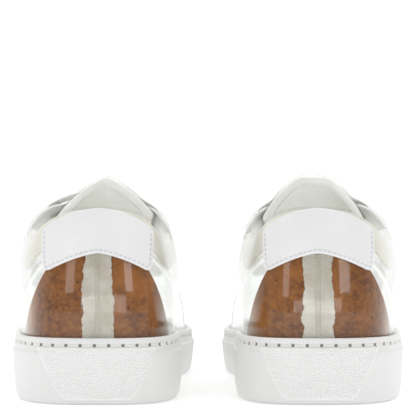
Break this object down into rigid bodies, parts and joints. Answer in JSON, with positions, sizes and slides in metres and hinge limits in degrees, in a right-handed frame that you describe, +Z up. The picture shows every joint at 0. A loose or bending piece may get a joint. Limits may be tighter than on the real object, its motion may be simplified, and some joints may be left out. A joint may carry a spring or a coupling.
{
  "type": "pair of low-top trainers",
  "caption": "Pair of low-top trainers with clear uppers, padded collars, brown heel counters, leather heel tabs and white cup soles.",
  "frame": {"origin": "middle of the pair on the ground", "axes": "+Y towards the toes, +X towards the right shoe, +Z up"},
  "size_m": [0.2196, 0.2927, 0.1094],
  "materials": {
    "sole_rubber": "matt white moulded rubber",
    "midsole_foam": "pale foam, hidden in the cup",
    "insole_board": "pale fibre board",
    "footbed_leather": "soft off-white leather",
    "clear_pvc": "clear and glossy",
    "white_leather": "smooth white leather",
    "collar_fabric": "cream padded fabric",
    "seam_tape": "off-white cotton tape",
    "counter_board": "brown speckled leatherboard",
    "lining_fabric": "pale grey woven lining",
    "thread": "waxed off-white thread",
    "tongue_leather": "soft padded white leather",
    "lace_cotton": "flat woven cotton lace"
  },
  "bodies": {
    "left_shoe": {"left_outsole": "sole_rubber", "left_midsole_filler": "midsole_foam", "left_insole_board": "insole_board", "left_footbed": "footbed_leather", "left_quarter_medial": "clear_pvc", "left_quarter_lateral": "clear_pvc", "left_facing_medial": "white_leather", "left_facing_lateral": "white_leather", "left_collar_pad_medial": "collar_fabric", "left_collar_pad_lateral": "collar_fabric", "left_vamp": "clear_pvc", "left_back_seam_tape": "seam_tape", "left_heel_counter": "counter_board", "left_heel_lining": "lining_fabric", "left_heel_tab": "white_leather", "left_heel_tab_stitching": "thread", "left_back_seam_stitching": "thread", "left_sole_stitching": "thread", "left_vamp_stitching": "thread", "left_facing_stitching": "thread", "left_lace": "lace_cotton"},
    "left_tongue": {"left_tongue_cover": "clear_pvc", "left_tongue": "tongue_leather", "left_tongue_lining": "lining_fabric"},
    "right_shoe": {"right_outsole": "sole_rubber", "right_midsole_filler": "midsole_foam", "right_insole_board": "insole_board", "right_footbed": "footbed_leather", "right_quarter_medial": "clear_pvc", "right_quarter_lateral": "clear_pvc", "right_facing_medial": "white_leather", "right_facing_lateral": "white_leather", "right_collar_pad_medial": "collar_fabric", "right_collar_pad_lateral": "collar_fabric", "right_vamp": "clear_pvc", "right_back_seam_tape": "seam_tape", "right_heel_counter": "counter_board", "right_heel_lining": "lining_fabric", "right_heel_tab": "white_leather", "right_heel_tab_stitching": "thread", "right_back_seam_stitching": "thread", "right_sole_stitching": "thread", "right_vamp_stitching": "thread", "right_facing_stitching": "thread", "right_lace": "lace_cotton"},
    "right_tongue": {"right_tongue_cover": "clear_pvc", "right_tongue": "tongue_leather", "right_tongue_lining": "lining_fabric"}
  },
  "joints": [
    {"name": "right_shoe_lift", "type": "slide", "parent": "left_shoe", "child": "right_shoe", "axis": [0, 0, 1], "range_m": [0, 0.12]},
    {"name": "left_tongue_fold", "type": "hinge", "parent": "left_shoe", "child": "left_tongue", "pos_m": [-0.0545, 0.024, 0.066], "axis": [1, 0, 0], "range_deg": [0, 8], "stiffness_Nm_per_rad": 1},
    {"name": "right_tongue_fold", "type": "hinge", "parent": "right_shoe", "child": "right_tongue", "pos_m": [0.0545, 0.024, 0.066], "axis": [1, 0, 0], "range_deg": [0, 8], "stiffness_Nm_per_rad": 1}
  ]
}
